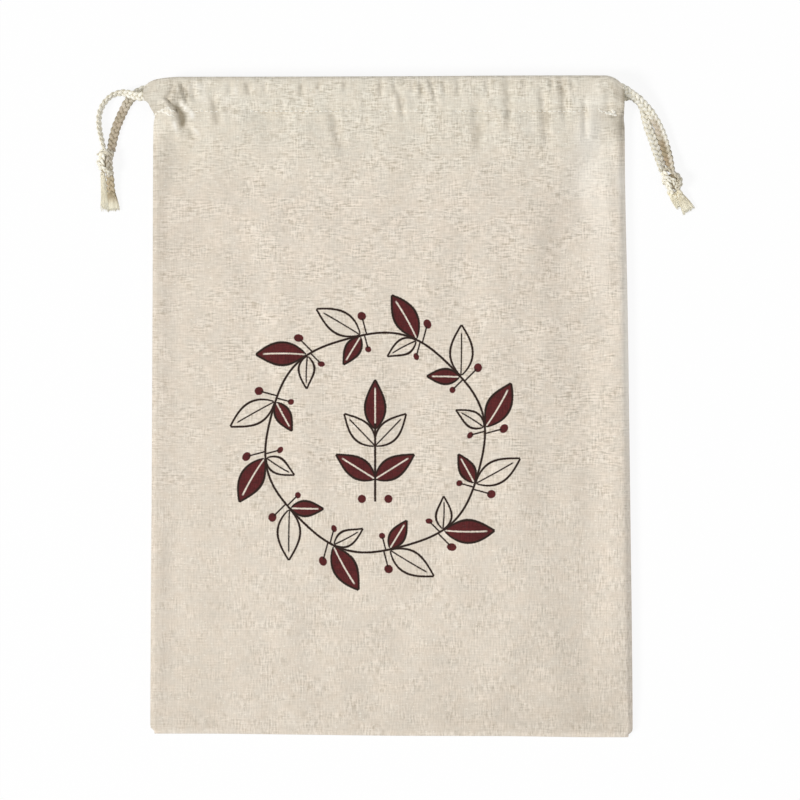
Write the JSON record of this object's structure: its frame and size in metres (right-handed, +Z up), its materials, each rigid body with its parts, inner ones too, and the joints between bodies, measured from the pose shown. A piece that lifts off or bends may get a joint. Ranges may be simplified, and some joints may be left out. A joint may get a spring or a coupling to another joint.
{
  "type": "drawstring vegetable storage bag",
  "caption": "Flat cotton-linen drawstring bag lying on its back, with a stitched casing, flat plaited cords knotted at both sides and a round leaf print.",
  "frame": {"origin": "centre of the underside of the bag as it lies flat on its back", "axes": "+X across the bag to the viewer's right when its mouth points away, +Y from the foot fold up to the mouth, +Z up out of the printed front"},
  "size_m": [0.3619, 0.4, 0.0161],
  "materials": {
    "cloth": "matte",
    "cord": "matte"
  },
  "bodies": {
    "root": {"bag_cloth": "cloth", "drawcord_left": "cord", "drawcord_right": "cord", "knot_left": "cord", "knot_right": "cord", "tails_left": "cord", "tails_right": "cord"}
  },
  "joints": []
}
